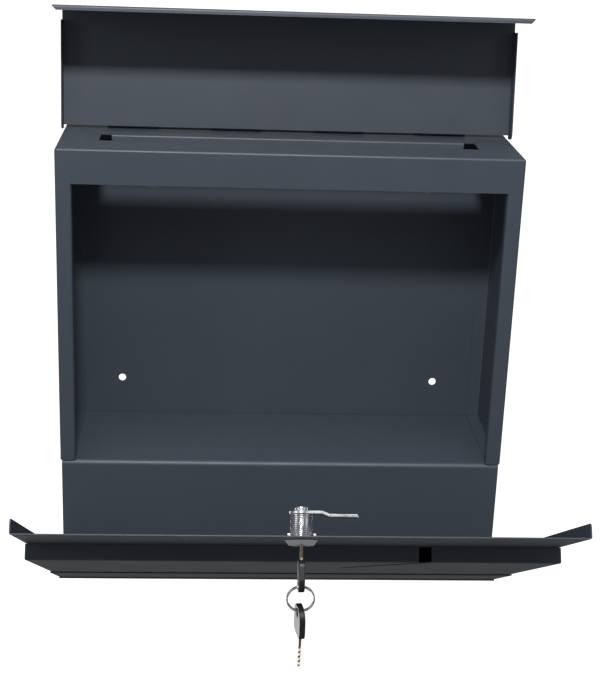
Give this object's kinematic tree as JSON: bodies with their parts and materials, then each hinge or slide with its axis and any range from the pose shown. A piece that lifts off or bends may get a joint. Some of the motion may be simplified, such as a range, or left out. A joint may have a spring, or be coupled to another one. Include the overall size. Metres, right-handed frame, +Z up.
{
  "type": "wall mounted mailbox",
  "caption": "Wall mounted steel mailbox with a hinged lid over a top letter slot, a locking drop-down door with keys, and an open ended newspaper tray below.",
  "frame": {"origin": "centre of the four wall screws, on the rear face of the back panel", "axes": "+Z up, the front faces -Y, the wall is the plane y = 0, +X to the right of a person in front"},
  "size_m": [0.374, 0.395, 0.4764],
  "materials": {
    "painted_steel": "satin anthracite powder coat, fine texture",
    "bumper_rubber": "matt grey",
    "zinc_steel": "bright zinc plating",
    "lock_chrome": "bright nickel chrome on die-cast zinc",
    "key_brass": "nickel plated brass, worn",
    "key_plastic": "black, slightly grained",
    "ring_nickel": "nickel plated spring wire"
  },
  "bodies": {
    "housing": {"back_panel": "painted_steel", "top_cap": "painted_steel", "left_side_wall": "painted_steel", "right_side_wall": "painted_steel", "newspaper_tray": "painted_steel", "door_bumpers": "bumper_rubber", "lid_hinge_base": "painted_steel", "lid_hinge_pin": "zinc_steel", "door_hinge_base": "painted_steel", "door_hinge_pin": "zinc_steel"},
    "lid": {"lid_hood": "painted_steel", "lid_hinge_leaf": "painted_steel"},
    "door": {"door_pan": "painted_steel", "door_cover": "painted_steel", "door_rail": "painted_steel", "door_hinge_leaf": "painted_steel", "lock_body": "lock_chrome", "lock_clip": "zinc_steel"},
    "plug": {"lock_plug": "lock_chrome", "cam": "zinc_steel", "cam_washer": "zinc_steel", "cam_screw": "zinc_steel"},
    "key": {"key_blade": "key_brass", "key_head": "key_plastic"},
    "ring": {"split_ring": "ring_nickel"},
    "spare_key": {"spare_key_blade": "key_brass", "spare_key_head": "key_plastic"}
  },
  "joints": [
    {"name": "lid_hinge", "type": "hinge", "parent": "housing", "child": "lid", "pos_m": [0, -0.024, 0.1441], "axis": [-1, 0, 0], "range_deg": [-98, 0]},
    {"name": "door_hinge", "type": "hinge", "parent": "housing", "child": "door", "pos_m": [0, -0.1129, -0.2184], "axis": [1, 0, 0], "range_deg": [-59, 0]},
    {"name": "lock_turn", "type": "hinge", "parent": "door", "child": "plug", "pos_m": [0, -0.36967, -0.06248], "axis": [0, 0.515, 0.8572], "range_deg": [-90, 0]},
    {"name": "key_slide", "type": "slide", "parent": "plug", "child": "key", "axis": [0, 0.515, 0.8572], "range_m": [-0.026, 0]},
    {"name": "ring_swing", "type": "hinge", "parent": "key", "child": "ring", "pos_m": [0, -0.38463, -0.08738], "axis": [-1, 0, 0], "range_deg": [-60, 20]},
    {"name": "spare_key_swing", "type": "hinge", "parent": "ring", "child": "spare_key", "pos_m": [0, -0.38463, -0.10788], "axis": [-1, 0, 0], "range_deg": [-30, 30]}
  ]
}
